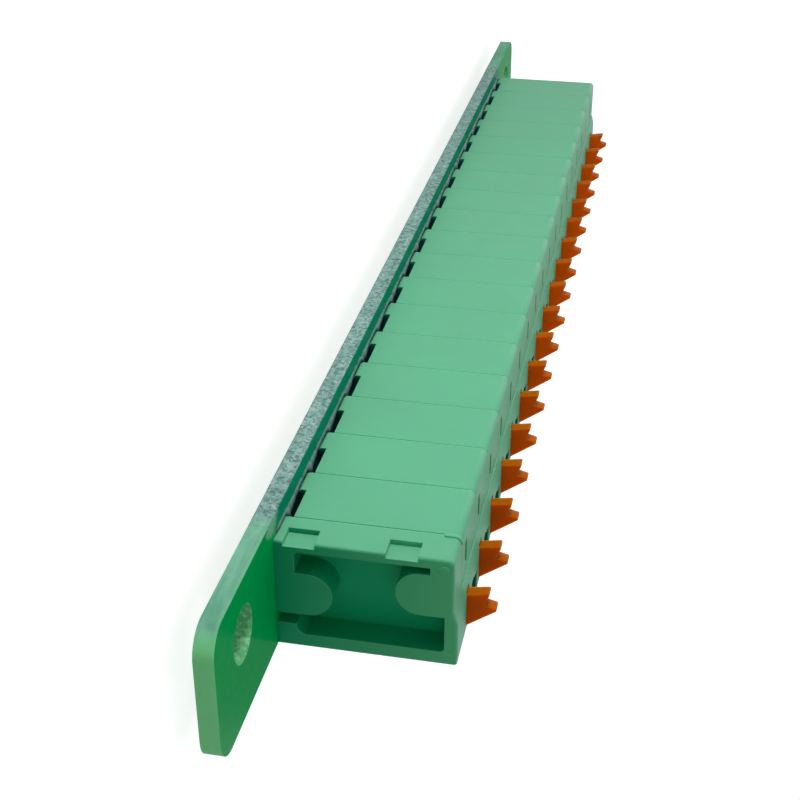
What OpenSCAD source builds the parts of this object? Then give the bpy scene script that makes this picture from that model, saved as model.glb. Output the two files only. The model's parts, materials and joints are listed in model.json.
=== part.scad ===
// Row of single-pole spring-clamp terminal modules on a board strip.
// Millimetres. X runs along the row, from the end plate to the closed end. Y runs from the wire side to
// the back, and Z away from the board. The origin is midway between the two screw holes, on the board's
// underside.

/* [Row] */
// Number of modules
poles = 18; // [2:1:18]
// Length of one module along the row
pitch = 5.08; // [5:0.01:7.62]
// Module size from the wire side to the back
depth = 7.65; // [6.3:0.05:10]
// Height of the back half of a module above the board
height = 10.9; // [9:0.05:14]

/* [Board] */
// Thickness of the board strip
board_t = 1.2; // [0.8:0.1:2.4]
// How far the board stands out behind the modules
board_margin = 1.45; // [0.5:0.05:3]
// Length of the bare tab past each end of the row
tab_l = 11.3; // [9:0.1:16]
// Radius of the strip's corners
board_corner_r = 1.8; // [0.5:0.1:3]
// Diameter of the two screw holes
screw_hole_d = 3.5; // [2.4:0.1:4]
// Distance from the row's end to the screw hole's centre
screw_hole_out = 6.4; // [4:0.1:8]
// Distance from the board's front edge to the screw holes' line
screw_hole_y = 5.65; // [3.5:0.05:6.5]

/* [Housing] */
// Thickness of the front and back walls
wall = 0.8; // [0.6:0.05:1]
// Thickness of the closed wall on the far side
far_wall = 0.7; // [0.5:0.05:1]
// Thickness of the top wall
top_wall = 1.1; // [0.8:0.05:1.4]
// Thickness of the floor
floor_t = 0.65; // [0.5:0.05:1]
// Height of the feet that hold the floor off the board
foot_h = 0.55; // [0.3:0.05:1]
// Length of the feet along the row
foot_l = 2.05; // [1.5:0.05:2.4]
// Radius of the feet's back edge
foot_edge_r = 0.28; // [0.1:0.02:0.3]
// Radius of the back edge of the top
back_edge_r = 0.42; // [0.1:0.01:0.7]
// Radius of the front edge of the top
front_edge_r = 0.22; // [0.1:0.01:0.3]
// Distance from the front face to the step in the top
ridge_y = 3.9; // [3.5:0.05:4.4]
// Rise of the step itself
ridge_step = 0.06; // [0.03:0.01:0.2]
// Width and depth of the groove at the foot of the step
step_groove = 0.1; // [0.05:0.01:0.2]
// Full rise of the front half above the back half
ridge_rise = 0.27; // [0.2:0.01:0.5]
// Length of the ramp in front of the step
ramp_l = 0.95; // [0.5:0.05:1]
// Depth and width of the groove that shows at each joint line
seam = 0.07; // [0.03:0.01:0.15]

/* [Wire entry] */
// Diameter of the wire hole
wire_d = 1.9; // [1.2:0.1:2]
// Lean of the wire hole from the vertical, in degrees
wire_lean = 8; // [0:1:12]
// Distance from the front face to the wire's centre at the top
wire_y = 1.25; // [1:0.05:1.5]
// Distance from the front face to the pocket's back edge
pocket_y = 2; // [1.8:0.05:2.4]
// Radius of the pocket's curved back edge
pocket_r = 4.8; // [3:0.1:8]
// Depth of the pocket round the wire hole
pocket_h = 1.15; // [0.6:0.05:1.3]
// Thickness of the lip between the pocket and the front face
lip_t = 0.4; // [0.3:0.05:0.5]
// How far the lip stays below the top
lip_drop = 0.5; // [0:0.05:0.8]
// Thickness of the rib between the pocket and the button
rib_t = 0.3; // [0.2:0.05:0.4]
// Length of the guide below the top wall
guide_l = 1.3; // [0.6:0.05:1.6]
// Width of the test slot in the back half of the top
test_slot_w = 0.7; // [0.4:0.05:1]
// Length of the test slot
test_slot_l = 1.7; // [1:0.05:2]
// Distance from the joint line to the test slot
test_slot_x = 1.35; // [1:0.05:2]
// Distance from the step in the top to the test slot
test_slot_y = 0.6; // [0.3:0.05:1]

/* [Button] */
// Travel of the release button
travel = 1; // [0.6:0.05:1.1]
// Thickness of the button
button_t = 0.88; // [0.6:0.02:1.1]
// Distance from the joint line to the button
button_x = 0.7; // [0.5:0.05:0.8]
// Distance from the front face to the button's back edge
button_back_y = 2.83; // [2.6:0.01:3]
// Lean of the button's back edge above the top, in degrees
back_lean = 10; // [0:1:12]
// Distance from the front face to the button's front edge
button_front_y = 0.42; // [0.3:0.02:0.5]
// Distance from the front face to the middle of the front prong's tip
front_prong_y = 1.88; // [1.6:0.02:2]
// Height of the front prong above the top
front_prong_h = 1.85; // [1.5:0.05:2.2]
// Height of the back prong above the top
back_prong_h = 1.38; // [1.3:0.02:1.6]
// Width of a prong's tip
prong_tip = 0.19; // [0.15:0.01:0.25]
// Rounding of a prong's tip
prong_r = 0.08; // [0.02:0.01:0.08]
// Distance from the front face to the bottom of the blade notch
notch_y = 2.18; // [2.1:0.02:2.3]
// Height of the notch's bottom above the top
notch_h = 1.08; // [0.9:0.02:1.2]
// Rounding of the notch's bottom
notch_r = 0.15; // [0.05:0.01:0.2]
// Width of the stem below the top wall
stem_w = 1.05; // [0.8:0.05:1.2]
// Reach of the ledge that keeps the button in
ledge = 0.5; // [0.3:0.05:0.6]
// Thickness of the shoulder below the front edge
shoulder_t = 0.25; // [0.15:0.05:0.4]
// Running gap round the button
slide_gap = 0.05; // [0.03:0.01:0.1]

/* [Clamp] */
// Thickness of the leaf spring
spring_t = 0.25; // [0.15:0.01:0.3]
// Radius of the spring's loop
loop_r = 1.12; // [0.9:0.02:1.2]
// Room between the top wall and the middle of the loop
loop_room = 2.65; // [2.2:0.05:3]
// Drop from the middle of the loop to the clamping edge
leg_drop = 1.7; // [1.2:0.05:2]
// Gap beside the spring and behind it
spring_gap = 0.06; // [0.03:0.01:0.1]
// Distance from the joint line to the spring
spring_x = 0.9; // [0.6:0.05:1.2]
// Thickness of the contact bar
bar_t = 0.4; // [0.3:0.05:0.5]
// Width of the contact bar
bar_w = 2.4; // [1.6:0.1:2.6]
// Height of the contact bar above the clamping edge
bar_rise = 1.4; // [0.8:0.1:1.8]
// Width of a solder pin
pin_w = 0.8; // [0.5:0.05:0.9]
// Distance between the two solder pins of a module
pin_spacing = 3.4; // [2.5:0.05:3.8]
// Length of a pin below the board
pin_reach = 1.5; // [1:0.1:3]
// Clearance of a pin in its hole
pin_gap = 0.1; // [0.05:0.01:0.2]
// Radius of a solder joint at the board
solder_r = 0.95; // [0.8:0.05:1.1]
// Height of a solder joint
solder_h = 0.8; // [0.5:0.05:0.95]

/* [End plate] */
// Thickness of the end plate
plate_t = 2.62; // [2:0.02:4]
// Depth of the recess in its near face
recess_h = 1.9; // [1:0.05:1.9]
// Thickness of the recess wall at the front
plate_wall = 0.87; // [0.6:0.01:1]
// Thickness of the recess wall at the back
plate_back = 0.72; // [0.6:0.01:1]
// Thickness of the recess wall beside the board
plate_foot = 1.2; // [0.8:0.05:1.4]
// Thickness of the recess wall at the top
plate_top = 0.55; // [0.4:0.05:0.8]
// Rounding of the recess's corners
recess_r = 0.3; // [0.1:0.05:0.4]
// Rounding of the recess's corner between the board and the front wall
foot_corner_r = 0.6; // [0.3:0.05:0.7]
// Height of a round-ended tongue in the recess
tongue_w = 3; // [2:0.1:3.2]
// Reach of the tongue on the board side
low_tongue = 3.5; // [2.5:0.02:4]
// Reach of the tongue on the top side
high_tongue = 3.55; // [2.5:0.05:4]
// Distance from the front face to the middle of the low tongue
low_tongue_y = 3.9; // [3:0.05:4.2]
// Distance from the front face to the middle of the high tongue
high_tongue_y = 4.95; // [4.4:0.05:5.2]
// Distance from the round of the high tongue to the step behind it
tongue_step = 0.6; // [0.3:0.05:1]
// Width of the channel between the low tongue and the foot of the front wall
channel_w = 0.8; // [0.4:0.05:0.9]
// Depth of the channel
channel_h = 0.9; // [0.3:0.05:1.4]
// Width of the two notches in the back face
latch_w = 1.95; // [1:0.05:2.2]
// Length of a notch along the row
latch_l = 1.5; // [1:0.05:2]
// Depth of a notch
latch_h = 0.36; // [0.2:0.02:0.4]
// Height of the low notch above the board
low_latch_z = 0.55; // [0.3:0.05:1]
// Height of the high notch above the board
high_latch_z = 6.78; // [5:0.02:7]
// Width of the moulding lip at the back corner
rim_w = 0.28; // [0.1:0.02:0.4]
// Height of the moulding lip
rim_h = 0.09; // [0.04:0.01:0.15]
// Length of the moulding lip below the corner's rounding
rim_l = 0.6; // [0.2:0.05:2]
// Diameter of the two ejector marks on the near face
mark_d = 0.7; // [0.4:0.05:0.8]
// Height of an ejector mark
mark_h = 0.04; // [0.02:0.01:0.1]
// Distance from the top to the middle of an ejector mark
mark_drop = 0.62; // [0.5:0.02:0.7]
// Distance from the front face to the middle of the front ejector mark
front_mark_in = 0.5; // [0.45:0.01:0.6]
// Distance from the back face to the middle of the back ejector mark
back_mark_in = 0.8; // [0.5:0.02:0.8]

/* [Hidden] */
$fn = 48;
far = 40;
arc_lap = 1;
arc_steps = 6;
housing_green = [0.40, 0.70, 0.54];
board_green = [0.05, 0.50, 0.27];
button_orange = [0.85, 0.42, 0.03];
spring_steel = [0.72, 0.72, 0.70];
contact_tin = [0.80, 0.78, 0.72];
solder_grey = [0.62, 0.63, 0.65];

row_l = plate_t + poles * pitch;
board_l = row_l + 2 * tab_l;
board_w = depth + board_margin;
top_z = height + ridge_rise;
floor_z = foot_h + floor_t;
ceiling_z = height - top_wall;

// Contact bar: a plate against the front wall, and a base that lies on the floor
bar_y = wall + spring_gap;
bar_face = bar_y + bar_t;
bar_x = (pitch - far_wall - bar_w) / 2 + spring_x / 2;
base_top = floor_z + bar_t;
pin_x = bar_x + (bar_w - pin_w) / 2;

// Leaf spring: its loop sits in the back corner, and its clamping leg is tangent to the loop
spring_w = pitch - far_wall - spring_x - spring_gap;
loop_y = depth - wall - spring_gap - spring_t / 2 - loop_r;
loop_z = ceiling_z - loop_room;
tip_y = bar_face + spring_t / 2 + spring_gap;
tip_z = loop_z - leg_drop;
leg_span = norm([loop_y - tip_y, leg_drop]);
leg_angle = atan2(leg_drop, loop_y - tip_y) + asin(loop_r / leg_span);
leg_l = sqrt(leg_span * leg_span - loop_r * loop_r);
bend_r = 2 * spring_t;
spring_foot_z = base_top + spring_t / 2;

// Button: its rounded nose rests just above the clamping leg
stem_y = button_back_y - stem_w;
nose_r = stem_w / 2;
nose_y = stem_y + nose_r;
leg_z_at_nose = tip_z + (nose_y - tip_y) * tan(leg_angle);
nose_z = leg_z_at_nose + (nose_r + spring_t / 2 + spring_gap) / cos(leg_angle);
shoulder_z = top_z - slide_gap;
ledge_top = ceiling_z - 2 * slide_gap;
slot_back_y = button_back_y + (travel + slide_gap) * tan(back_lean) + slide_gap;

// Wire entry
button_side = button_x + button_t + slide_gap;
pocket_x = button_side + rib_t;
wire_x = (pocket_x + pitch - far_wall) / 2;
guide_y = wire_y + wire_d / 2 + 2 * rib_t;

module_names = [for (i = [1:poles]) i < 10 ? str("_0", i) : str("_", i)];
function numbered(name) = [for (n = module_names) str(name, n)];

// Puts the row's own corner, at the near end, the front face and the board's top, in the part's frame
module row_frame() {
    translate([-row_l / 2, -screw_hole_y, board_t]) children();
}

module module_frame(i) {
    row_frame() translate([plate_t + (i - 1) * pitch, 0, 0]) children();
}

// Extrudes a side view, drawn as Y and Z, along the row
module along_row(x, length) {
    translate([x, 0, 0]) rotate([90, 0, 90]) linear_extrude(length) children();
}

// What a rounding takes off a corner that points up and towards positive Y
module corner_cut(r) {
    difference() {
        square(r + 1);
        circle(r);
    }
}

// Straight piece of strip, drawn from a point at an angle
module strip(from, angle, length, t) {
    translate(from) rotate(angle) translate([0, -t / 2]) square([length, t]);
}

// Curved piece of strip, drawn between two angles less than 180 degrees apart. It laps the straight pieces.
module strip_arc(centre, r, low, high, t) {
    translate(centre) intersection() {
        difference() {
            circle(r + t / 2);
            circle(r - t / 2);
        }
        polygon([
            [0, 0],
            for (a = [low - arc_lap, (low + high) / 2, high + arc_lap]) 4 * r * [cos(a), sin(a)]
        ]);
    }
}

// Corners of an outline, each given as a point and a radius, turned into arcs
function eased(corners) = [for (i = [0:len(corners) - 1]) each corner_arc(
    flat(corners[(i + len(corners) - 1) % len(corners)]), flat(corners[i]),
    flat(corners[(i + 1) % len(corners)]), corners[i][2]
)];
function flat(corner) = [corner[0], corner[1]];
function towards(from, to) = (to - from) / norm(to - from);
function corner_arc(last, corner, next, r) = r == 0 ? [corner] :
    let (u = towards(corner, last), v = towards(corner, next), half = acos(u * v) / 2)
    let (centre = corner + (u + v) / norm(u + v) * r / sin(half), turn = 90 - half)
    let (side = cross(u, v) > 0 ? 1 : -1, middle = towards(centre, corner))
    [for (k = [-1:2 / arc_steps:1]) centre + r * turned(middle, -side * k * turn)];
function turned(v, a) = [v[0] * cos(a) - v[1] * sin(a), v[0] * sin(a) + v[1] * cos(a)];

// Outline of a module from the side, with the step in its top or with a plain ramp there
module side_view(inset = 0, step = ridge_step, groove = step_groove) {
    back = depth - inset;
    top = height - inset;
    ridge = top_z - inset;
    difference() {
        polygon([
            [inset, 0], [back, 0], [back, top], [ridge_y + groove, top],
            if (groove > 0) [ridge_y, top - groove],
            if (step > 0) [ridge_y, top + step],
            [ridge_y - ramp_l, ridge], [inset, ridge]
        ]);
        translate([back - back_edge_r, top - back_edge_r]) corner_cut(back_edge_r);
        translate([inset + front_edge_r, ridge - front_edge_r]) mirror([1, 0]) corner_cut(front_edge_r);
    }
}

module housing_shell() {
    difference() {
        union() {
            along_row(0, pitch) side_view(seam);
            along_row(seam, pitch - seam) side_view();
        }
        translate([-1, wall, floor_z]) cube([pitch - far_wall + 1, depth - 2 * wall, ceiling_z - floor_z]);
        translate([-1, -1, -1]) cube([pitch - foot_l + 1, depth + 2, foot_h + 1]);
        along_row(-1, pitch + 2) translate([depth - foot_edge_r, foot_edge_r])
            mirror([0, 1]) corner_cut(foot_edge_r);
    }
}

module wire_guide() {
    translate([pocket_x - rib_t / 2, wall / 2, ceiling_z - guide_l])
        cube([pitch - far_wall / 2 - pocket_x, guide_y - wall / 2, guide_l + top_wall / 2]);
}

module wire_pocket() {
    intersection() {
        translate([pocket_x, lip_t, top_z - pocket_h]) cube([pitch, pocket_y, far]);
        translate([wire_x, pocket_y - pocket_r, 0]) cylinder(h = far, r = pocket_r, $fn = 96);
    }
    translate([pocket_x, -1, top_z - lip_drop]) cube([pitch, lip_t + 1.1, far]);
    translate([wire_x, wire_y, top_z]) rotate([wire_lean, 0, 0])
        translate([0, 0, -pocket_h - guide_l - 2]) cylinder(h = pocket_h + guide_l + 3, d = wire_d);
}

module button_slot() {
    translate([button_x - slide_gap, button_front_y - slide_gap, shoulder_z - 2 * shoulder_t - travel])
        cube([button_t + 2 * slide_gap, slot_back_y - button_front_y + slide_gap, far]);
}

module pin_slots() {
    for (k = [0, 1])
        translate([pin_x - pin_gap, bar_y + k * pin_spacing - pin_gap, -1])
            cube([pin_w + 2 * pin_gap, bar_t + 2 * pin_gap, floor_z + 2]);
}

module housing(i) {
    color(housing_green) module_frame(i) difference() {
        union() {
            housing_shell();
            wire_guide();
        }
        wire_pocket();
        button_slot();
        pin_slots();
        translate([test_slot_x, ridge_y + test_slot_y, ceiling_z - 1])
            cube([test_slot_w, test_slot_l, far]);
    }
}

// Outline above the stem, with a radius for each corner: two prongs with a blade notch between them
module fin_outline() {
    back_tip_y = button_back_y + back_prong_h * tan(back_lean);
    polygon(eased([
        [button_front_y, shoulder_z - shoulder_t, 0], [stem_y, shoulder_z - 2 * shoulder_t, 0],
        [button_back_y, shoulder_z - 2 * shoulder_t, 0], [button_back_y, shoulder_z, 0],
        [back_tip_y, top_z + back_prong_h, prong_r], [back_tip_y - prong_tip, top_z + back_prong_h, prong_r],
        [notch_y, top_z + notch_h, notch_r], [front_prong_y + prong_tip / 2, top_z + front_prong_h, prong_r],
        [front_prong_y - prong_tip / 2, top_z + front_prong_h, prong_r], [button_front_y, shoulder_z, 0]
    ]));
}

module button(i) {
    color(button_orange) module_frame(i) along_row(button_x, button_t) {
        fin_outline();
        translate([stem_y, nose_z]) square([stem_w, shoulder_z - shoulder_t - nose_z]);
        translate([stem_y, ledge_top - 2 * ledge]) square([stem_w + ledge, 2 * ledge]);
        translate([nose_y, nose_z]) circle(nose_r);
    }
}

module spring(i) {
    back_y = loop_y + loop_r;
    color(spring_steel) module_frame(i) along_row(spring_x, spring_w) {
        strip([tip_y, tip_z], leg_angle, leg_l, spring_t);
        strip_arc([loop_y, loop_z], loop_r, 0, leg_angle + 90, spring_t);
        strip([back_y, spring_foot_z + bend_r], 90, loop_z - spring_foot_z - bend_r, spring_t);
        strip_arc([back_y - bend_r, spring_foot_z + bend_r], bend_r, -90, 0, spring_t);
        strip([back_y - bend_r, spring_foot_z], 180, loop_r, spring_t);
    }
}

module contact_bar() {
    along_row(bar_x, bar_w) {
        translate([bar_y, base_top]) square([bar_t, tip_z + bar_rise - base_top]);
        translate([bar_y + 2 * bar_t, floor_z])
            square([loop_y + loop_r - bar_y - 2 * bar_t, bar_t]);
        strip_arc([bar_y + 2 * bar_t, floor_z + 2 * bar_t], 1.5 * bar_t, 180, 270, bar_t);
    }
    for (k = [0, 1])
        along_row(pin_x, pin_w) translate([bar_y + k * pin_spacing, 0]) polygon([
            [0, floor_z + bar_t / 2], [0, -board_t - pin_reach + bar_t / 2],
            [bar_t / 4, -board_t - pin_reach], [3 * bar_t / 4, -board_t - pin_reach],
            [bar_t, -board_t - pin_reach + bar_t / 2], [bar_t, floor_z + bar_t / 2]
        ]);
}

module contact_bars() {
    color(contact_tin) for (i = [1:poles]) module_frame(i) contact_bar();
}

// Middle of each solder pin, on the board's top
module at_pins() {
    for (i = [1:poles], k = [0, 1])
        module_frame(i) translate([pin_x + pin_w / 2, bar_y + bar_t / 2 + k * pin_spacing, 0]) children();
}

module solder_joint() {
    translate([0, 0, -board_t - solder_h]) difference() {
        cylinder(h = solder_h, r1 = (norm([pin_w, bar_t]) + pin_gap) / 2, r2 = solder_r);
        translate([-pin_w / 2, -bar_t / 2, -1]) cube([pin_w, bar_t, solder_h + 2]);
    }
}

module solder_joints() {
    color(solder_grey) at_pins() solder_joint();
}

module board() {
    r = board_corner_r;
    hole_x = row_l / 2 + screw_hole_out;
    color(board_green) difference() {
        translate([0, -screw_hole_y, 0]) linear_extrude(board_t) union() {
            translate([-board_l / 2 + r, 0]) square([board_l - 2 * r, board_w]);
            translate([-board_l / 2, r]) square([board_l, board_w - 2 * r]);
            for (x = [r - board_l / 2, board_l / 2 - r], y = [r, board_w - r]) translate([x, y]) circle(r);
        }
        for (x = [-hole_x, hole_x]) translate([x, 0, -1]) cylinder(h = board_t + 2, d = screw_hole_d);
        at_pins() translate([0, 0, -board_t - 1])
            cylinder(h = board_t + 2, d = norm([pin_w, bar_t]) + pin_gap);
    }
}

// Round-ended tongue, drawn from the board upwards
module tongue(reach) {
    translate([-tongue_w / 2, -1]) square([tongue_w, reach - tongue_w / 2 + 1]);
    translate([0, reach - tongue_w / 2]) circle(tongue_w / 2);
}

// Rectangle between two corners, with round corners of its own
module rounded_box(low, high, r) {
    translate(low + [r, 0]) square(high - low - [2 * r, 0]);
    translate(low + [0, r]) square(high - low - [0, 2 * r]);
    for (y = [low[0] + r, high[0] - r], z = [low[1] + r, high[1] - r]) translate([y, z]) circle(r);
}

module low_tongue_view() {
    translate([low_tongue_y, 0]) tongue(low_tongue);
}

module high_tongue_view() {
    translate([high_tongue_y, height]) mirror([0, 1]) tongue(high_tongue);
}

module recess_view() {
    difference() {
        rounded_box([plate_wall, plate_foot], [depth - plate_back, height - plate_top], recess_r);
        translate([plate_wall + foot_corner_r, plate_foot + foot_corner_r])
            rotate(180) corner_cut(foot_corner_r);
        low_tongue_view();
        high_tongue_view();
        translate([high_tongue_y, height - high_tongue + tongue_w / 2 + tongue_step]) square(tongue_w);
    }
}

// Lip left by the mould round the back corner, at the joint with the first module
module moulding_lip() {
    along_row(plate_t - rim_w, rim_w) translate([depth - back_edge_r, height - back_edge_r]) difference() {
        union() {
            circle(back_edge_r + rim_h);
            translate([0, -rim_l]) square([back_edge_r + rim_h, rim_l]);
        }
        circle(back_edge_r - rim_h);
        translate([-1, -far]) square([1 + back_edge_r - rim_h, far]);
        translate([-far, -1]) square([far, far]);
    }
}

module end_plate() {
    color(housing_green) row_frame() {
        difference() {
            along_row(0, plate_t) side_view(step = 0, groove = 0);
            along_row(-1, recess_h + 1) recess_view();
            translate([-1, low_tongue_y - tongue_w / 2 - channel_w, -1])
                cube([channel_h + 1, channel_w, plate_foot + 2]);
            for (z = [low_latch_z, high_latch_z])
                translate([-1, depth - latch_h, z]) cube([latch_l + 1, 1, latch_w]);
        }
        moulding_lip();
        along_row(-mark_h, mark_h + recess_h / 2) {
            translate([front_mark_in, top_z - mark_drop]) circle(d = mark_d);
            translate([depth - back_mark_in, height - mark_drop]) circle(d = mark_d);
        }
    }
}

board();
end_plate();
for (i = [1:poles]) {
    housing(i);
    button(i);
    spring(i);
}
contact_bars();
solder_joints();
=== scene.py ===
"""Looks of a row of spring-clamp terminal modules on a board strip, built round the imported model."""

import json
import math

import bmesh
import bpy
from mathutils import Matrix, Vector, noise

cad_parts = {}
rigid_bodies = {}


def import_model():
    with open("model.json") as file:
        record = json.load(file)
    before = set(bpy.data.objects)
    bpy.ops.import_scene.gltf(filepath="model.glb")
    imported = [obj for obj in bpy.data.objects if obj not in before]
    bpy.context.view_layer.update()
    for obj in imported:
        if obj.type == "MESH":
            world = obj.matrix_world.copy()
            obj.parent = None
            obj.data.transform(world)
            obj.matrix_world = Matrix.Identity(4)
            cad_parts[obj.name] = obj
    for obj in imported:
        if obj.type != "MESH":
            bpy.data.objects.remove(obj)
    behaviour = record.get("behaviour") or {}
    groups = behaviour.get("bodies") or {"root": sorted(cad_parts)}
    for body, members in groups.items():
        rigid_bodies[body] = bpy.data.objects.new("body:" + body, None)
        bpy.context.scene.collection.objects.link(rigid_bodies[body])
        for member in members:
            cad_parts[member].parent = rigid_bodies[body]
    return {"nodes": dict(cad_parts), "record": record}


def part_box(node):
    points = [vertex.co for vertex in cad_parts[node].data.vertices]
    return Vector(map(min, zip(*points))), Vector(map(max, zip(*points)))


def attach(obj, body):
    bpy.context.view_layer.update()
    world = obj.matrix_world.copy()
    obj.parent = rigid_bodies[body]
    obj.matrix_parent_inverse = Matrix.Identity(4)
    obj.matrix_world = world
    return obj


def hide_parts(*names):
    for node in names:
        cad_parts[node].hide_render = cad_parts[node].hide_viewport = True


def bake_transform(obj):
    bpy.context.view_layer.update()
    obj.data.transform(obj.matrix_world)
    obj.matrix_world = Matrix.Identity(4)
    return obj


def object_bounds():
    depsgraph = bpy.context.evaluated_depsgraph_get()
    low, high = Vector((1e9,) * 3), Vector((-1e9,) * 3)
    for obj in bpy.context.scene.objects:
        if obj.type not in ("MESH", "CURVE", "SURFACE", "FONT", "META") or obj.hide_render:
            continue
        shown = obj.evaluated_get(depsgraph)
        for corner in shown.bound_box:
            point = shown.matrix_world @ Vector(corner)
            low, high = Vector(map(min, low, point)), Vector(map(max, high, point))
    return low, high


MM = 0.001

for leftover in list(bpy.data.objects):
    bpy.data.objects.remove(leftover)

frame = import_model()
cad_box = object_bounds()

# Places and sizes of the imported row
numbers = sorted(name.split("_")[1] for name in frame["nodes"] if name.startswith("housing_"))
row_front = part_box("housing_01")[0].y
row_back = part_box("housing_01")[1].y
row_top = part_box("housing_01")[1].z
modules_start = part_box("housing_01")[0].x
row_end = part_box("housing_" + numbers[-1])[1].x
pitch = (row_end - modules_start) / len(numbers)
board_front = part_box("board")[0].y
board_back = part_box("board")[1].y
board_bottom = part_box("board")[0].z
board_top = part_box("board")[1].z
screws = frame["record"]["mounts"][0]["dims"]
screw_out = screws["spacing_x_mm"] / 2 * MM
screw_radius = screws["hole_r_mm"] * MM

# The row is centred. The end plate's own box also holds the low discs that stand on its near face.
row_start = -row_end

# Camera of the photograph, in the part's frame. It is rolled, so the row's back faces up.
CAMERA_AT = Vector((-114.033, 51.031, 22.605)) * MM
CAMERA_RIGHT = Vector((0.20021, -0.001, 0.97975))
CAMERA_FORWARD = Vector((0.85288, -0.49198, -0.17479))
CAMERA_LENS = 64.704
CAMERA_SENSOR = 36
CAMERA_NEAREST = 0.005
CAMERA_FARTHEST = 20

# Eased edges of the moulded pieces
HOUSING_EASE = 0.026 * MM
PLATE_EASE = 0.032 * MM
PLATE_RIM_EASE = 0.22 * MM
PLATE_RIM_REACH = 0.6 * MM
BUTTON_EASE = 0.07 * MM
EASE_STEPS = 2
RIM_STEPS = 4

# Angles between faces that count as sharp, as a crease in the shading and as flat
SHARP = math.radians(30)
CREASE = math.radians(55)
FLAT = math.radians(1)

# Points closer than this are one
WELD = 0.0005 * MM

# Part of a face's normal along one way from which the face lies across it, or turns towards it
ACROSS = 0.9
TURNED = 0.5

# Bending stretch of a leaf spring, from the loop's near side to just behind the button's nose
SPRING_BEND_START = 4.6 * MM
SPRING_BEND_END = 2.7 * MM
SPRING_BEND_CUTS = 10

# Routed edge of the board, with torn glass fibres standing out of it. It fades into the smooth edge at both
# ends and at the underside.
ROUTED_CELL = 0.1 * MM
ROUTED_RISE = 0.05 * MM
ROUTED_SKIN = 0.03 * MM
ROUTED_FADE = 1.6 * MM
ROUTED_LEAD = 0.8 * MM
ROUTED_MARGIN = 0.3 * MM

# Relief of the torn fibres: bumps per metre, how far each layer is weaker and finer than the one before,
# number of layers, mean rise and swing
TEARS_PER_METRE = 2300
TEAR_WEAKER = 0.9
TEAR_FINER = 2.0
TEAR_LAYERS = 4
TEAR_MEAN = 0.45
TEAR_SWING = 0.55

# Bare laminate at the near end of the row, where the mask has come off beside the end plate
BARE_RADIUS = 1.05 * MM
BARE_SOFTNESS = 0.3 * MM

# Bead of coating along the foot of the row, which has crept into the gap under each module. The length of
# such a blob is a share of the pitch.
BEAD_WIDTH = 0.34 * MM
BEAD_HEIGHT = 0.1 * MM
BEAD_SKIN = 0.025 * MM
BEAD_START = 0.5 * MM
BEAD_STEP = 0.12 * MM
BEAD_SIDES = 10
BLOB_REACH = 0.5 * MM
BLOB_HEIGHT = 0.2 * MM
BLOB_LENGTH = 0.6

# Uneven width and height of the bead: waves per metre, the row of the noise that it reads, and swing
BEAD_WAVES_PER_METRE = 1500
BEAD_WAVE_ROW = (7, 3)
BEAD_UNEVEN = 0.45

# Groove at each joint line, over which a pale painted highlight lies
SEAM_WIDTH = 0.07 * MM
SEAM_SOFTNESS = 0.021 * MM

# Gap under each module, where painted shade darkens the feet and the board
GAP_HEIGHT = 0.55 * MM
GAP_SOFTNESS = 0.14 * MM

# Recess of the end plate, which starts this far inside its outline and is darkened with painted shade
RECESS_MARGIN = 0.45 * MM
RECESS_SOFTNESS = 0.1 * MM

# Pocket round each wire hole, deep and darkened with painted shade, with a softer end at its floor
POCKET_LIP = 0.15 * MM
POCKET_REACH = 2.02 * MM
POCKET_DEPTH = 1.3 * MM
POCKET_SOFTNESS = 0.12 * MM
POCKET_SIDE_SOFTNESS = 0.00875 * MM

# Wall of the drilled screw holes, whose broken fibre ends stand out more than the mask's cloth, and which
# painted light makes paler
DRILLED_REACH = 0.08 * MM
DRILLED_RELIEF = 4.0

# Copper ring round each solder joint
PAD_RADIUS = 1.12 * MM
PAD_HEIGHT = 0.035 * MM
PAD_SIDES = 28

# Patterns of the finishes, in waves per metre
SLOW_TONE = 210.0
METAL_STREAKS = 14000.0
METAL_PATCHES = 1500.0
LAMINATE_STRATA = 1700.0
LAMINATE_CLOUDS = 420.0
MASK_CLOTH = 1900.0
BROKEN_FIBRES = 2400.0
TORN_CLOUDS = 1300.0
TORN_CURLS = 2000.0
TORN_PITS = 3600.0
BEAD_CLOUDS = 2600.0

# Stretch of the streaks along rolled metal and of the layers along the board
STREAK_STRETCH = (1.0, 0.08, 0.08)
STRATA_STRETCH = (0.25, 0.25, 2.0)

# Spread that most of a noise pattern's values keep to
NOISE_LOW = 0.3
NOISE_HIGH = 0.7

# Spans of a pattern's values over which one colour gives way to the next
LAMINATE_CONTRAST = (0.38, 0.62)
BROKEN_CONTRAST = (0.46, 0.64)
PIT_CONTRAST = (0.38, 0.6)
TORN_CONTRAST = (0.05, 0.6)

# A curled strand runs where its noise is at its middle value, and is this wide in that noise
STRAND_VALUE = 0.5
STRAND_WIDTH = 0.06
STRAND_COVER = (0.1, 0.9)
TORN_RAGGED = (-0.25, 0.25)

# Spans of a normal's part along one way over which a face becomes a side with painted shading, a masked
# face or an end with painted light
SHADED_SIDE_FACING = (0.5, 0.95)
MASK_FACING = (0.6, 0.8)
LIT_END_FACING = (0.4, 0.9)

# Roughness, and how far it strays round a group's own gloss
MOULDED_STRAY = (-0.05, 0.05)
METAL_STRAY = (-0.06, 0.1)
MASK_ROUGHNESS = (0.17, 0.25)
CUT_ROUGHNESS = 0.65
TORN_ROUGHNESS = (0.5, 0.7)
BEAD_ROUGHNESS = (0.3, 0.5)

# Spans of brightness
MASK_TONES = (0.95, 1.05)
BEAD_TONES = (0.85, 1.12)

# Depths of the finest relief, which is bump
MOULDED_DEPTH = 0.004 * MM
METAL_DEPTH = 0.002 * MM
BOARD_DEPTH = 0.005 * MM
TORN_DEPTH = 0.012 * MM
BEAD_DEPTH = 0.01 * MM


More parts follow.
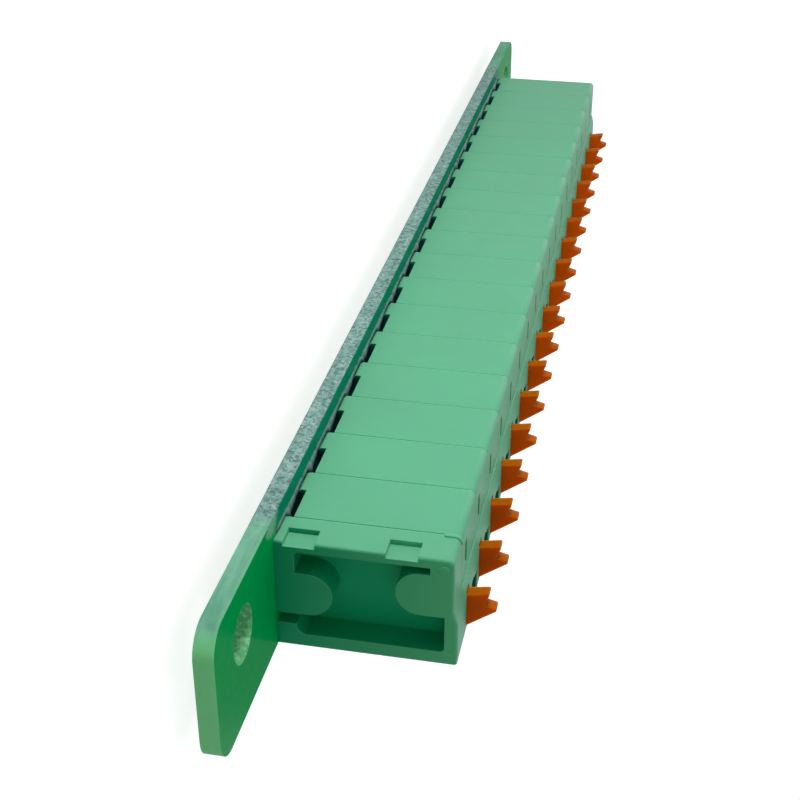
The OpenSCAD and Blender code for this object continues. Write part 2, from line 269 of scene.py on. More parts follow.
def srgb(red, green, blue):
    """A colour given in screen values from 0 to 255, as the linear values that shaders take."""
    shares = [value / 255 for value in (red, green, blue)]
    linear = [s / 12.92 if s <= 0.04045 else ((s + 0.055) / 1.055) ** 2.4 for s in shares]
    return (*linear, 1)


HOUSING_GREEN = srgb(100, 182, 142)
# Painted shade on the faces across the row, deeper towards the board
JOINT_SHADED_GREEN = srgb(78, 174, 120)
JOINT_DEEP_SHADE = srgb(0, 143, 99)
# Painted shade in the wire pockets
POCKET_PAINTED_SHADE = srgb(0, 80, 44)
# Painted shade in the end plate's recess
RECESS_PAINTED_SHADE = srgb(8, 156, 106)
# Pale painted highlight along the joint lines
SEAM_PAINTED_HIGHLIGHT = srgb(108, 200, 156)
# Painted shade in the gaps under the modules
GAP_PAINTED_SHADE = srgb(6, 80, 84)
BUTTON_ORANGE = srgb(178, 90, 0)
# Redder painted shading on the buttons' faces across the row
BLADE_SHADED_ORANGE = srgb(208, 85, 0)
MASK_GREEN = srgb(0, 166, 83)
# Painted shade on the mask behind the row
MASK_PAINTED_SHADE = srgb(8, 142, 110)
BARE_PALE = srgb(126, 192, 158)
# Painted light on the board's ends
END_PAINTED_LIGHT = srgb(128, 218, 150)
LAMINATE_PALE = srgb(132, 192, 164)
LAMINATE_DEEP = srgb(104, 170, 140)
# Hole walls with broken fibre ends, made paler with painted light
DRILLED_PALE_PAINTED_LIGHT = srgb(158, 228, 178)
DRILLED_DEEP_PAINTED_LIGHT = srgb(100, 186, 124)
FIBRE_WHITE = srgb(198, 226, 220)
FIBRE_GROUND = srgb(134, 172, 166)
FIBRE_SHADE = srgb(80, 124, 116)
BEAD_GREY = srgb(94, 130, 120)
# Painted shade on the bead where it goes under the row
BLOB_PAINTED_SHADE_GREY = srgb(48, 72, 80)
SPRING_STEEL = srgb(196, 196, 192)
CONTACT_TIN = srgb(214, 210, 200)
SOLDER_GREY = srgb(176, 178, 182)
PAD_TIN = srgb(200, 196, 184)
FLOOR_WHITE = (0.7, 0.7, 0.7, 1)


def add_node(tree, kind, inputs=None, **settings):
    """A node with its settings, and with each input set to a value or linked to a socket."""
    made = tree.nodes.new(kind)
    for name, value in settings.items():
        setattr(made, name, value)
    for name, value in (inputs or {}).items():
        if isinstance(value, bpy.types.NodeSocket):
            tree.links.new(value, made.inputs[name])
        else:
            made.inputs[name].default_value = value
    return made


def spot_of(tree):
    """The place on the object, in the part's frame."""
    return add_node(tree, "ShaderNodeTexCoord").outputs["Object"]


def axes_of(tree, vector):
    """The X, Y and Z of a vector."""
    return add_node(tree, "ShaderNodeSeparateXYZ", {"Vector": vector}).outputs


def facing_of(tree, axis):
    """How far the surface is turned along an axis of the frame, either way."""
    normal = axes_of(tree, add_node(tree, "ShaderNodeTexCoord").outputs["Normal"])
    return math_of(tree, "ABSOLUTE", normal[axis])


def noise_of(tree, where, scale, detail=3.0, roughness=0.55, distortion=0.0):
    """A cloudy pattern with so many waves per metre."""
    return add_node(
        tree, "ShaderNodeTexNoise",
        {
            "Vector": where, "Scale": scale, "Detail": detail, "Roughness": roughness,
            "Distortion": distortion,
        },
    ).outputs["Fac"]


def stretched(tree, where, scale):
    """Places for a pattern that is drawn out along an axis."""
    return add_node(tree, "ShaderNodeMapping", {"Vector": where, "Scale": scale}).outputs["Vector"]


def math_of(tree, operation, first, second=0.0):
    """A sum, a product or another operation on values."""
    return add_node(tree, "ShaderNodeMath", {0: first, 1: second}, operation=operation).outputs[0]


def spread_of(tree, value, low, high, from_low=NOISE_LOW, from_high=NOISE_HIGH):
    """Maps a value's usual spread to the span from low to high."""
    return add_node(
        tree, "ShaderNodeMapRange",
        {"Value": value, "From Min": from_low, "From Max": from_high, "To Min": low, "To Max": high},
    ).outputs["Result"]


def rise_of(tree, value, start, end):
    """0 up to the start of a span of values, and 1 from its end on."""
    return spread_of(tree, value, 0.0, 1.0, start, end)


def fall_of(tree, value, start, end):
    """1 up to the start of a span of values, and 0 from its end on."""
    return spread_of(tree, value, 1.0, 0.0, start, end)


def mix_of(tree, share, first, second):
    """A value that goes from the first to the second with a share."""
    return add_node(tree, "ShaderNodeMix", {0: share, 2: first, 3: second}).outputs[0]


def blend_of(tree, share, first, second):
    """A colour that goes from the first to the second with a share."""
    return add_node(tree, "ShaderNodeMix", {0: share, 6: first, 7: second}, data_type="RGBA").outputs[2]


def toned_of(tree, colour, brightness):
    """A colour made darker or lighter."""
    made = add_node(tree, "ShaderNodeHueSaturation", {"Color": colour, "Value": brightness})
    return made.outputs["Color"]


def new_group(name, takes, gives):
    """An empty shader group with its sockets: its tree, its input node's outputs and its output node."""
    tree = bpy.data.node_groups.new(name, "ShaderNodeTree")
    for label, kind, value in takes:
        tree.interface.new_socket(label, in_out="INPUT", socket_type=kind).default_value = value
    for label, kind in gives:
        tree.interface.new_socket(label, in_out="OUTPUT", socket_type=kind)
    return tree, tree.nodes.new("NodeGroupInput").outputs, tree.nodes.new("NodeGroupOutput")


def put_out(tree, out, **results):
    """Links a group's results to its outputs."""
    for label, socket in results.items():
        tree.links.new(socket, out.inputs[label])


def moulded_skin_group():
    """Matt skin of a moulded piece: slow shifts of tone, fine eroded grain and slightly uneven gloss.

    The faces across the row take a colour of their own, which is painted shading.
    """
    tree, given, out = new_group(
        "Moulded skin",
        [
            ("Colour", "NodeSocketColor", (0.5, 0.5, 0.5, 1)),
            ("Shaded side colour", "NodeSocketColor", (0.5, 0.5, 0.5, 1)),
            ("Mottle", "NodeSocketFloat", 0.05),
            ("Grain", "NodeSocketFloat", 9000.0),
            ("Gloss", "NodeSocketFloat", 0.42),
        ],
        [("Colour", "NodeSocketColor"), ("Roughness", "NodeSocketFloat"), ("Height", "NodeSocketFloat")],
    )
    spot = spot_of(tree)
    slow = noise_of(tree, spot, SLOW_TONE, detail=4.0)
    fine = noise_of(tree, spot, given["Grain"], detail=2.0)
    # Faces across the row take the side colour, which is painted shading
    side = rise_of(tree, facing_of(tree, "X"), *SHADED_SIDE_FACING)
    base = blend_of(tree, side, given["Colour"], given["Shaded side colour"])
    shift = math_of(tree, "MULTIPLY", spread_of(tree, slow, -1.0, 1.0), given["Mottle"])
    colour = toned_of(tree, base, math_of(tree, "ADD", shift, 1.0))
    gloss = math_of(tree, "ADD", given["Gloss"], spread_of(tree, slow, *MOULDED_STRAY))
    put_out(tree, out, Colour=colour, Roughness=gloss, Height=fine)
    return tree


def metal_skin_group():
    """Rolled or plated metal: fine streaks along one way and patches of duller tone."""
    tree, given, out = new_group(
        "Metal skin",
        [
            ("Colour", "NodeSocketColor", (0.7, 0.7, 0.7, 1)),
            ("Dulling", "NodeSocketFloat", 0.2),
            ("Gloss", "NodeSocketFloat", 0.3),
        ],
        [("Colour", "NodeSocketColor"), ("Roughness", "NodeSocketFloat"), ("Height", "NodeSocketFloat")],
    )
    spot = spot_of(tree)
    streaks = noise_of(tree, stretched(tree, spot, STREAK_STRETCH), METAL_STREAKS, detail=2.0)
    patches = noise_of(tree, spot, METAL_PATCHES, detail=4.0)
    dull = math_of(tree, "MULTIPLY", spread_of(tree, patches, 0.0, 1.0), given["Dulling"])
    colour = toned_of(tree, given["Colour"], math_of(tree, "SUBTRACT", 1.0, dull))
    gloss = math_of(tree, "ADD", given["Gloss"], spread_of(tree, streaks, *METAL_STRAY))
    put_out(tree, out, Colour=colour, Roughness=gloss, Height=streaks)
    return tree


def laminate_group():
    """Milled edge of the laminate: pale and deep green layers that run along the board."""
    tree, given, out = new_group(
        "Laminate edge",
        [("Pale", "NodeSocketColor", LAMINATE_PALE), ("Deep", "NodeSocketColor", LAMINATE_DEEP)],
        [("Colour", "NodeSocketColor"), ("Height", "NodeSocketFloat")],
    )
    spot = spot_of(tree)
    strata = noise_of(tree, stretched(tree, spot, STRATA_STRETCH), LAMINATE_STRATA, detail=4.0)
    clouds = noise_of(tree, spot, LAMINATE_CLOUDS)
    mean = math_of(tree, "MULTIPLY", math_of(tree, "ADD", strata, clouds), 0.5)
    colour = blend_of(tree, rise_of(tree, mean, *LAMINATE_CONTRAST), given["Deep"], given["Pale"])
    put_out(tree, out, Colour=colour, Height=strata)
    return tree


def box_share_group():
    """1 inside a box of the frame and 0 outside, fading inside its walls over a width for each axis."""
    origin = (0.0, 0.0, 0.0)
    tree, given, out = new_group(
        "Box share",
        [
            ("Low", "NodeSocketVector", origin),
            ("High", "NodeSocketVector", origin),
            ("Fade", "NodeSocketVector", origin),
        ],
        [("Share", "NodeSocketFloat")],
    )
    spot = axes_of(tree, spot_of(tree))
    low = axes_of(tree, given["Low"])
    high = axes_of(tree, given["High"])
    fade = axes_of(tree, given["Fade"])
    share = 1.0
    for axis in "XYZ":
        entered = rise_of(tree, spot[axis], low[axis], math_of(tree, "ADD", low[axis], fade[axis]))
        kept = fall_of(tree, spot[axis], math_of(tree, "SUBTRACT", high[axis], fade[axis]), high[axis])
        share = math_of(tree, "MULTIPLY", math_of(tree, "MULTIPLY", entered, kept), share)
    put_out(tree, out, Share=share)
    return tree


moulded_skin = moulded_skin_group()
metal_skin = metal_skin_group()
laminate = laminate_group()
box_share = box_share_group()


def share_in_box(tree, low, high, fade):
    """Share of a box of the frame, placed in a material."""
    corners = {"Low": low, "High": high, "Fade": fade}
    return add_node(tree, "ShaderNodeGroup", corners, node_tree=box_share).outputs["Share"]


def gap_shade_share(tree):
    """1 in the gaps under the modules, where painted shade goes, and 0 outside."""
    low = (modules_start, row_front, board_top - GAP_SOFTNESS)
    high = (row_end, row_back - GAP_SOFTNESS, board_top + GAP_HEIGHT + GAP_SOFTNESS)
    return share_in_box(tree, low, high, 3 * [GAP_SOFTNESS])


def recess_shade_share(tree):
    """1 in the end plate's recess, below its rim, where painted shade goes, and 0 outside."""
    low = (row_start, row_front + RECESS_MARGIN, board_top)
    high = (modules_start, row_back - RECESS_MARGIN, row_top - RECESS_MARGIN)
    return share_in_box(tree, low, high, 3 * [RECESS_SOFTNESS])


def pocket_shade_share(tree):
    """1 in the pockets round the wire holes, where painted shade goes, and 0 outside."""
    low = (modules_start, row_front + POCKET_LIP, row_top - POCKET_DEPTH)
    high = (row_end, row_front + POCKET_REACH, row_top)
    return share_in_box(tree, low, high, (POCKET_SIDE_SOFTNESS, SEAM_WIDTH, POCKET_SOFTNESS))


def seam_highlight_share(tree):
    """1 at the joint lines of the modules, where a painted highlight goes, and 0 away from them."""
    along = axes_of(tree, spot_of(tree))["X"]
    from_joint = math_of(tree, "PINGPONG", math_of(tree, "SUBTRACT", along, modules_start), pitch / 2)
    near = fall_of(tree, from_joint, SEAM_WIDTH, SEAM_WIDTH + SEAM_SOFTNESS)
    past_plate = rise_of(tree, along, modules_start - 2 * SEAM_WIDTH, modules_start - SEAM_WIDTH)
    return math_of(tree, "MULTIPLY", near, past_plate)


def drilled_share(tree):
    """1 on the walls of the screw holes and 0 away from them."""
    spot = axes_of(tree, spot_of(tree))
    from_hole = math_of(tree, "SUBTRACT", math_of(tree, "ABSOLUTE", spot["X"]), screw_out)
    off_axis = add_node(tree, "ShaderNodeCombineXYZ", {"X": from_hole, "Y": spot["Y"]}).outputs["Vector"]
    reach = add_node(tree, "ShaderNodeVectorMath", {0: off_axis}, operation="LENGTH").outputs["Value"]
    return fall_of(tree, reach, screw_radius, screw_radius + DRILLED_REACH)


def unscraped_share(tree, ragged):
    """1 where the mask is still on and 0 beside the end plate, with an edge that a pattern makes ragged."""
    corner = (row_start, board_back, board_top)
    reach = add_node(tree, "ShaderNodeVectorMath", {0: spot_of(tree), 1: corner}, operation="DISTANCE")
    shift = spread_of(tree, ragged, -BARE_SOFTNESS, BARE_SOFTNESS)
    edge = math_of(tree, "ADD", reach.outputs["Value"], shift)
    return rise_of(tree, edge, BARE_RADIUS - BARE_SOFTNESS, BARE_RADIUS + BARE_SOFTNESS)


def new_finish(name, **constants):
    """A material with an unlinked Principled shader whose even values are set on its own sockets."""
    finish = bpy.data.materials.new(name)
    finish.use_nodes = True
    tree = finish.node_tree
    shader = tree.nodes["Principled BSDF"]
    for socket, value in constants.items():
        shader.inputs[socket.replace("_", " ")].default_value = value
    return finish, tree, shader


def wire_up(tree, shader, colour, roughness, height, depth):
    """Colour, roughness and a bump of a real depth in metres into a shader."""
    bump = add_node(tree, "ShaderNodeBump", {"Height": height, "Distance": depth, "Strength": 1.0})
    tree.links.new(colour, shader.inputs["Base Color"])
    tree.links.new(roughness, shader.inputs["Roughness"])
    tree.links.new(bump.outputs["Normal"], shader.inputs["Normal"])


def grouped_finish(name, group, values, depth, **constants):
    """A finish whose colour, roughness and grain come from a shared group."""
    finish, tree, shader = new_finish(name, **constants)
    skin = add_node(tree, "ShaderNodeGroup", values, node_tree=group).outputs
    wire_up(tree, shader, skin["Colour"], skin["Roughness"], skin["Height"], depth)
    return finish


def metal_finish(name, colour, dulling, gloss):
    """A bare or plated metal."""
    values = {"Colour": colour, "Dulling": dulling, "Gloss": gloss}
    return grouped_finish(name, metal_skin, values, METAL_DEPTH, Metallic=1.0)


def housing_finish():
    """Green moulded plastic, with painted shade on the faces across the row that deepens towards the board,
    and painted shade in its recess and pockets.

    The joint lines carry a pale painted highlight, and painted shade darkens the gaps under the modules.
    """
    finish, tree, shader = new_finish(
        "housing_green", Subsurface_Weight=0.15, Subsurface_Scale=0.25 * MM, Specular_IOR_Level=0.12
    )
    # Painted shade on the faces across the row, deepest at the board
    board_shade_fade = rise_of(tree, axes_of(tree, spot_of(tree))["Z"], board_top, row_top)
    skin = add_node(
        tree, "ShaderNodeGroup",
        {
            "Colour": HOUSING_GREEN, "Shaded side colour": blend_of(tree, board_shade_fade, JOINT_DEEP_SHADE, JOINT_SHADED_GREEN),
            "Mottle": 0.04, "Grain": 9000.0, "Gloss": 0.48,
        },
        node_tree=moulded_skin,
    ).outputs
    # Painted shade in the end plate's recess
    deep = blend_of(tree, recess_shade_share(tree), skin["Colour"], RECESS_PAINTED_SHADE)
    # Pale painted highlight along the joint lines
    drawn = blend_of(tree, seam_highlight_share(tree), deep, SEAM_PAINTED_HIGHLIGHT)
    # Painted shade in the wire pockets
    hollow = blend_of(tree, pocket_shade_share(tree), drawn, POCKET_PAINTED_SHADE)
    # Painted shade in the gaps under the modules
    colour = blend_of(tree, gap_shade_share(tree), hollow, GAP_PAINTED_SHADE)
    wire_up(tree, shader, colour, skin["Roughness"], skin["Height"], MOULDED_DEPTH)
    return finish


def button_finish():
    """Orange moulded plastic that lets some light through, with painted shading that makes the faces across
    the row redder.
    """
    return grouped_finish(
        "button_orange", moulded_skin,
        {
            # Redder painted shading on the faces across the row
            "Colour": BUTTON_ORANGE, "Shaded side colour": BLADE_SHADED_ORANGE,
            "Mottle": 0.05, "Grain": 7000.0, "Gloss": 0.4,
        },
        MOULDED_DEPTH,
        Subsurface_Weight=0.6, Subsurface_Scale=0.9 * MM, Subsurface_Radius=(1.0, 0.9, 0.2),
        Specular_IOR_Level=0.04,
    )


def board_finish():
    """Laminate under a green mask on its two faces, and bare where it is cut or the mask has come off."""
    finish, tree, shader = new_finish(
        "board_green", Subsurface_Weight=0.25, Subsurface_Scale=0.4 * MM,
        Subsurface_Radius=(0.3, 1.0, 0.45), Specular_IOR_Level=0.0018,
    )
    spot = spot_of(tree)
    cloth = noise_of(tree, spot, MASK_CLOTH)
    broken = noise_of(tree, spot, BROKEN_FIBRES, roughness=0.6)
    edge = add_node(tree, "ShaderNodeGroup", node_tree=laminate).outputs
    faced = rise_of(tree, facing_of(tree, "Z"), *MASK_FACING)
    # Painted light on the board's ends
    lit_end = rise_of(tree, facing_of(tree, "X"), *LIT_END_FACING)
    drilled = drilled_share(tree)
    masked = math_of(tree, "MULTIPLY", faced, unscraped_share(tree, cloth))
    # Painted shade on the mask behind the row
    behind = share_in_box(
        tree, (row_start, row_back - BLOB_REACH, 0.0), (row_end, 2 * board_back, 2 * board_top),
        (ROUTED_FADE, BLOB_REACH, board_top),
    )
    mask_with_row_shade = blend_of(tree, behind, MASK_GREEN, MASK_PAINTED_SHADE)
    # Painted shade in the gaps under the modules
    mask = toned_of(
        tree, blend_of(tree, gap_shade_share(tree), mask_with_row_shade, GAP_PAINTED_SHADE), spread_of(tree, cloth, *MASK_TONES)
    )
    # Painted light that makes the hole walls paler, under their broken fibre ends
    chipped_lightened = blend_of(tree, rise_of(tree, broken, *BROKEN_CONTRAST), DRILLED_DEEP_PAINTED_LIGHT, DRILLED_PALE_PAINTED_LIGHT)
    cut = blend_of(tree, drilled, blend_of(tree, lit_end, edge["Colour"], END_PAINTED_LIGHT), chipped_lightened)
    bare = blend_of(tree, faced, cut, BARE_PALE)
    roughness = mix_of(tree, masked, CUT_ROUGHNESS, spread_of(tree, cloth, *MASK_ROUGHNESS))
    chips = math_of(tree, "MULTIPLY", broken, DRILLED_RELIEF)
    height = mix_of(tree, masked, mix_of(tree, drilled, edge["Height"], chips), cloth)
    wire_up(tree, shader, blend_of(tree, masked, bare, mask), roughness, height, BOARD_DEPTH)
    return finish


def routed_finish():
    """Torn glass fibres: pale curled strands over a grey-green ground, fading into the plain laminate."""
    finish, tree, shader = new_finish("routed_fibres", Specular_IOR_Level=0.06)
    spot = spot_of(tree)
    clouds = noise_of(tree, spot, TORN_CLOUDS, detail=4.0)
    curls = noise_of(tree, spot, TORN_CURLS, detail=2.5, roughness=0.6, distortion=1.1)
    pits = noise_of(tree, spot, TORN_PITS)
    off_line = math_of(tree, "ABSOLUTE", math_of(tree, "SUBTRACT", curls, STRAND_VALUE))
    strand = fall_of(tree, off_line, 0.0, STRAND_WIDTH)
    cover = math_of(tree, "MULTIPLY", strand, spread_of(tree, clouds, *STRAND_COVER))
    ground = blend_of(tree, rise_of(tree, pits, *PIT_CONTRAST), FIBRE_SHADE, FIBRE_GROUND)
    torn = blend_of(tree, cover, ground, FIBRE_WHITE)
    inside = share_in_box(
        tree, (row_start - ROUTED_LEAD, 2 * board_front, -ROUTED_MARGIN / 4),
        (row_end, 2 * board_back, 2 * board_top), (ROUTED_FADE, ROUTED_MARGIN, ROUTED_MARGIN),
    )
    ragged = math_of(tree, "ADD", inside, spread_of(tree, clouds, *TORN_RAGGED))
    share = rise_of(tree, ragged, *TORN_CONTRAST)
    edge = add_node(tree, "ShaderNodeGroup", node_tree=laminate).outputs
    colour = blend_of(tree, share, edge["Colour"], torn)
    relief = math_of(tree, "MULTIPLY", strand, share)
    wire_up(tree, shader, colour, spread_of(tree, clouds, *TORN_ROUGHNESS), relief, TORN_DEPTH)
    return finish


def bead_finish():
    """Dull, slightly cloudy coating, with painted shade that makes it darker and bluer where it goes under
    the row.
    """
    finish, tree, shader = new_finish("coating_bead", Specular_IOR_Level=0.1)
    spot = spot_of(tree)
    cloud = noise_of(tree, spot, BEAD_CLOUDS, detail=4.0)
    # Painted shade where the bead goes under the row
    under = fall_of(tree, axes_of(tree, spot)["Y"], row_back + BEAD_WIDTH / 10, row_back + BEAD_WIDTH)
    base = blend_of(tree, under, BEAD_GREY, BLOB_PAINTED_SHADE_GREY)
    colour = toned_of(tree, base, spread_of(tree, cloud, *BEAD_TONES))
    wire_up(tree, shader, colour, spread_of(tree, cloud, *BEAD_ROUGHNESS), cloud, BEAD_DEPTH)
    return finish


def new_piece(name, bm, finish, body=None):
    """A mesh piece at the origin, with its finish, riding on a body."""
    mesh = bpy.data.meshes.new(name)
    bm.to_mesh(mesh)
    bm.free()
    mesh.materials.append(finish)
    piece = bpy.data.objects.new(name, mesh)
    bpy.context.scene.collection.objects.link(piece)
    if body:
        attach(piece, body)
    return piece


def welded_copy(node):
    """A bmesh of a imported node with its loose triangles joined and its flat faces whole."""
    bm = bmesh.new()
    bm.from_mesh(frame["nodes"][node].data)
    bmesh.ops.remove_doubles(bm, verts=bm.verts, dist=WELD)
    bmesh.ops.dissolve_limit(bm, angle_limit=FLAT, verts=bm.verts, edges=bm.edges)
    return bm


def smooth_faces(bm):
    """Smooth shading all over."""
    for face in bm.faces:
        face.smooth = True


def smooth_over_eases(bm):
    """Smooth shading that runs over eased edges and breaks at creases."""
    smooth_faces(bm)
    for edge in bm.edges:
        if edge.is_manifold and edge.calc_face_angle(0) > CREASE:
            edge.smooth = False


def ease_edges(bm, edges, width, steps):
    """Rounds edges over a width."""
    bmesh.ops.bevel(
        bm, geom=edges, offset=width, offset_type="OFFSET", segments=steps, profile=0.5,
        affect="EDGES", clamp_overlap=False, material=-1,
    )


def outward_edges(bm):
    """Sharp edges that point outwards."""
    return [e for e in bm.edges if e.is_manifold and e.is_convex and e.calc_face_angle(0) > SHARP]


def near_rim_edges(bm):
    """Back and top edges of the end plate's near face, which are rounder than the rest."""
    near = {
        face for face in bm.faces
        if face.normal.x < -ACROSS and abs(face.calc_center_median().x - row_start) < WELD
    }
    low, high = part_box("end_plate")
    rim = []
    for edge in {e for f in near for e in f.edges if e.is_convex}:
        for face in set(edge.link_faces) - near:
            at = face.calc_center_median()
            behind = face.normal.y > TURNED and at.y > high.y - PLATE_RIM_REACH
            above = face.normal.z > TURNED and at.z > high.z - PLATE_RIM_REACH
            if behind or above and at.y > low.y + PLATE_RIM_REACH:
                rim.append(edge)
    return rim


def moulded_piece(node, width, finish, body, rim_of=None):
    """A moulded node with eased edges, and a rounder rim where it has one. It stands for the sharp node."""
    bm = welded_copy(node)
    if rim_of:
        ease_edges(bm, rim_of(bm), PLATE_RIM_EASE, RIM_STEPS)
    ease_edges(bm, outward_edges(bm), width, EASE_STEPS)
    smooth_over_eases(bm)
    piece = new_piece(node + "_eased", bm, finish, body)
    piece.modifiers.new("even_shading", "WEIGHTED_NORMAL").keep_sharp = True
    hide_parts(node)


def leaf_spring(number, finish):
    """A leaf spring, with cuts across its bending stretch."""
    node = f"spring_{number}"
    bm = welded_copy(node)
    for cut in range(SPRING_BEND_CUTS + 1):
        share = cut / SPRING_BEND_CUTS
        y = row_front + SPRING_BEND_START + share * (SPRING_BEND_END - SPRING_BEND_START)
        everything = [*bm.verts, *bm.edges, *bm.faces]
        bmesh.ops.bisect_plane(bm, geom=everything, plane_co=(0, y, 0), plane_no=(0, 1, 0))
    smooth_over_eases(bm)
    piece = new_piece(node + "_leaf", bm, finish)
    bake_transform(piece)
    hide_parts(node)


def routed_edge(name, y, outward, finish):
    """Skin of torn fibres over one long edge of the board, along the row."""
    start = row_start - ROUTED_LEAD
    length = row_end - start
    columns = round(length / ROUTED_CELL)
    rows = round(board_top / ROUTED_CELL)
    bm = bmesh.new()
    bmesh.ops.create_grid(bm, x_segments=columns, y_segments=rows, size=0.5)
    bmesh.ops.scale(bm, vec=(length, board_top, 1), verts=bm.verts)
    upright = Matrix.Rotation(math.radians(90), 3, "X")
    bmesh.ops.rotate(bm, cent=(0, 0, 0), matrix=upright, verts=bm.verts)
    bmesh.ops.translate(bm, vec=((start + row_end) / 2, y, board_top / 2), verts=bm.verts)
    for vert in bm.verts:
        if vert.is_boundary:
            continue
        from_end = min(1, min(vert.co.x - start, row_end - vert.co.x) / ROUTED_FADE)
        above = min(1, vert.co.z / (board_top / 2))
        rough = noise.fractal(vert.co * TEARS_PER_METRE, TEAR_WEAKER, TEAR_FINER, TEAR_LAYERS)
        torn = min(1, max(0, TEAR_MEAN + TEAR_SWING * rough))
        vert.co.y += outward * ROUTED_RISE * from_end * above * torn
    if outward > 0:
        bmesh.ops.reverse_faces(bm, faces=bm.faces)
    bmesh.ops.solidify(bm, geom=bm.faces, thickness=ROUTED_SKIN)
    smooth_faces(bm)
    new_piece(name, bm, finish, "row")


def coating_bead(finish):
    """Bead of coating along the foot of the row, thicker in the gap at the near end of each module."""
    start = row_start + BEAD_START
    length = row_end - start
    bm = bmesh.new()
    bmesh.ops.create_grid(bm, x_segments=round(length / BEAD_STEP), y_segments=BEAD_SIDES, size=0.5)
    bmesh.ops.scale(bm, vec=(length, 1, 1), verts=bm.verts)
    bmesh.ops.translate(bm, vec=((start + row_end) / 2, 0, 0), verts=bm.verts)
    for vert in bm.verts:
        across = vert.co.y
        along = ((vert.co.x - modules_start) / pitch) % 1
        blob = max(0, 1 - along / BLOB_LENGTH) if vert.co.x > modules_start else 0
        wave = noise.noise(Vector((vert.co.x * BEAD_WAVES_PER_METRE, *BEAD_WAVE_ROW)))
        uneven = 1 + BEAD_UNEVEN * wave
        taper = min(1, (vert.co.x - start) / BEAD_WIDTH, (row_end - vert.co.x) / BEAD_WIDTH)
        outer = row_back + BEAD_WIDTH * uneven * taper
        inner = row_back - BLOB_REACH * blob * uneven
        crown = math.sqrt(max(0, 1 - (2 * across) ** 2))
        vert.co.y = inner + (outer - inner) * (across + 0.5)
        vert.co.z = board_top + (BEAD_HEIGHT + BLOB_HEIGHT * blob) * uneven * taper * crown
    smooth_faces(bm)
    bmesh.ops.solidify(bm, geom=bm.faces, thickness=BEAD_SKIN)
    new_piece("coating_bead", bm, finish, "row")


def joint_centres(mesh):
    """Middle of each separate solder joint, from the islands of their mesh."""
    bm = bmesh.new()
    bm.from_mesh(mesh)
    bmesh.ops.remove_doubles(bm, verts=bm.verts, dist=WELD)
    centres = []
    left = set(bm.verts)
    while left:
        reached = {left.pop()}
        edge = list(reached)
        while edge:
            for link in edge.pop().link_edges:
                for vert in link.verts:
                    if vert in left:
                        left.discard(vert)
                        reached.add(vert)
                        edge.append(vert)
        xs = [v.co.x for v in reached]
        ys = [v.co.y for v in reached]
        centres.append(((min(xs) + max(xs)) / 2, (min(ys) + max(ys)) / 2))
    bm.free()
    return sorted(centres)


def solder_pads(finish):
    """Copper rings under the solder joints, on the board's underside."""
    bm = bmesh.new()
    for x, y in joint_centres(frame["nodes"]["solder_joints"].data):
        ring = bmesh.ops.create_circle(bm, segments=PAD_SIDES, radius=PAD_RADIUS, cap_ends=True)["verts"]
        bmesh.ops.translate(bm, vec=(x, y, board_bottom), verts=ring)
    grown = bmesh.ops.extrude_face_region(bm, geom=bm.faces[:])["geom"]
    lower = [v for v in grown if isinstance(v, bmesh.types.BMVert)]
    bmesh.ops.translate(bm, vec=(0, 0, -PAD_HEIGHT), verts=lower)
    bmesh.ops.recalc_face_normals(bm, faces=bm.faces)
    new_piece("solder_pads", bm, finish, "row")


def give_finish(node, finish):
    """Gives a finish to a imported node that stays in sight."""
    mesh = frame["nodes"][node].data
    mesh.materials.clear()
    mesh.materials.append(finish)


def seen_share(tree):
    """1 where a ray comes from the camera, a reflection or through glass, and 0 for soft light."""
    path = add_node(tree, "ShaderNodeLightPath").outputs
    seen = math_of(tree, "MAXIMUM", path["Is Camera Ray"], path["Is Glossy Ray"])
    return math_of(tree, "MAXIMUM", seen, path["Is Transmission Ray"])


def white_world(ambient):
    """A room that looks white and lights softly."""
    world = bpy.data.worlds.new("white_room")
    world.use_nodes = True
    tree = world.node_tree
    back = tree.nodes["Background"]
    back.inputs["Color"].default_value = (1, 1, 1, 1)
    tree.links.new(mix_of(tree, seen_share(tree), ambient, 1.0), back.inputs["Strength"])
    bpy.context.scene.world = world


def white_floor(z, reach, glow):
    """A pale floor under the pins that keeps the part's shadow and looks white."""
    bm = bmesh.new()
    bmesh.ops.create_grid(bm, x_segments=1, y_segments=1, size=reach)
    bmesh.ops.translate(bm, vec=(0, 0, z), verts=bm.verts)
    finish = bpy.data.materials.new("pale_floor")
    finish.use_nodes = True
    tree = finish.node_tree
    tree.nodes.clear()
    matt = add_node(tree, "ShaderNodeBsdfDiffuse", {"Color": FLOOR_WHITE})
    seen_glow = math_of(tree, "MULTIPLY", seen_share(tree), glow)
    shine = add_node(tree, "ShaderNodeEmission", {"Strength": seen_glow})
    both = add_node(tree, "ShaderNodeAddShader", {0: matt.outputs[0], 1: shine.outputs[0]})
    add_node(tree, "ShaderNodeOutputMaterial", {"Surface": both.outputs[0]})
    new_piece("floor", bm, finish)


def soft_lamp(name, towards, distance, size, power):
    """A square lamp that looks at the row's middle from a direction."""
    data = bpy.data.lights.new(name, "AREA")
    data.size = size
    data.energy = power
    lamp = bpy.data.objects.new(name, data)
    direction = Vector(towards).normalized()
    lamp.location = direction * distance
    lamp.rotation_mode = "QUATERNION"
    lamp.rotation_quaternion = direction.to_track_quat("Z", "Y")
    bpy.context.scene.collection.objects.link(lamp)


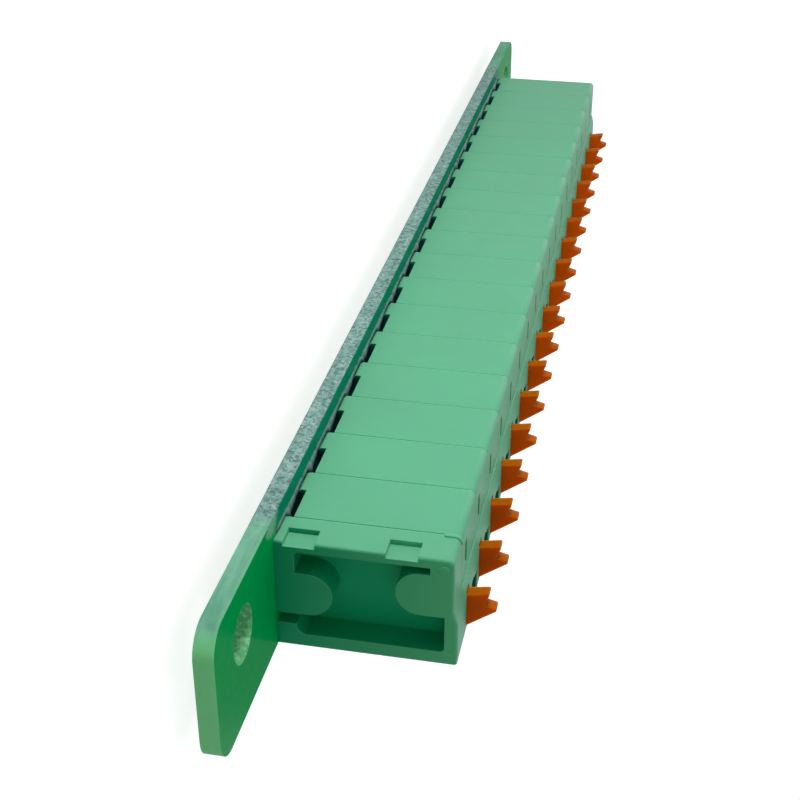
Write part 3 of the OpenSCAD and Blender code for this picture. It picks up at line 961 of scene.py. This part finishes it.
def photo_camera():
    """The camera at the photograph's place, turned as it was."""
    data = bpy.data.cameras.new("photo_camera")
    data.sensor_width = CAMERA_SENSOR
    data.lens = CAMERA_LENS
    data.clip_start = CAMERA_NEAREST
    data.clip_end = CAMERA_FARTHEST
    camera = bpy.data.objects.new("photo_camera", data)
    back = -CAMERA_FORWARD.normalized()
    up = back.cross(CAMERA_RIGHT).normalized()
    right = up.cross(back)
    turn = Matrix((right, up, back)).transposed()
    camera.matrix_world = Matrix.Translation(CAMERA_AT) @ turn.to_4x4()
    bpy.context.scene.collection.objects.link(camera)
    bpy.context.scene.camera = camera


housing_plastic = housing_finish()
button_plastic = button_finish()
spring_metal = metal_finish("spring_steel", SPRING_STEEL, dulling=0.15, gloss=0.26)
contact_metal = metal_finish("contact_tin", CONTACT_TIN, dulling=0.25, gloss=0.32)
solder_metal = metal_finish("solder_grey", SOLDER_GREY, dulling=0.3, gloss=0.24)
pad_metal = metal_finish("pad_tin", PAD_TIN, dulling=0.2, gloss=0.3)
torn_fibres = routed_finish()

give_finish("board", board_finish())
give_finish("contact_bars", contact_metal)
give_finish("solder_joints", solder_metal)
moulded_piece("end_plate", PLATE_EASE, housing_plastic, "row", near_rim_edges)
for number in numbers:
    moulded_piece("housing_" + number, HOUSING_EASE, housing_plastic, "row")
    moulded_piece("button_" + number, BUTTON_EASE, button_plastic, "button_" + number)
    leaf_spring(number, spring_metal)
routed_edge("routed_edge_back", board_back, 1, torn_fibres)
routed_edge("routed_edge_front", board_front, -1, torn_fibres)
coating_bead(bead_finish())
solder_pads(pad_metal)

white_world(ambient=0.34)
white_floor(z=cad_box[0].z, reach=3.0, glow=0.76)
soft_lamp("key", towards=(-0.3, 0.95, 0.16), distance=0.13, size=0.026, power=0.091)
soft_lamp("fill", towards=(-0.9, 0.0, 0.3), distance=0.4, size=0.2, power=0.12)
soft_lamp("wire_side", towards=(0.35, -1.0, 0.08), distance=0.4, size=0.3, power=0.85)
soft_lamp("far_side", towards=(1.0, 0.2, 0.4), distance=0.4, size=0.3, power=0.25)
photo_camera()

bpy.context.scene.view_settings.view_transform = "Standard"
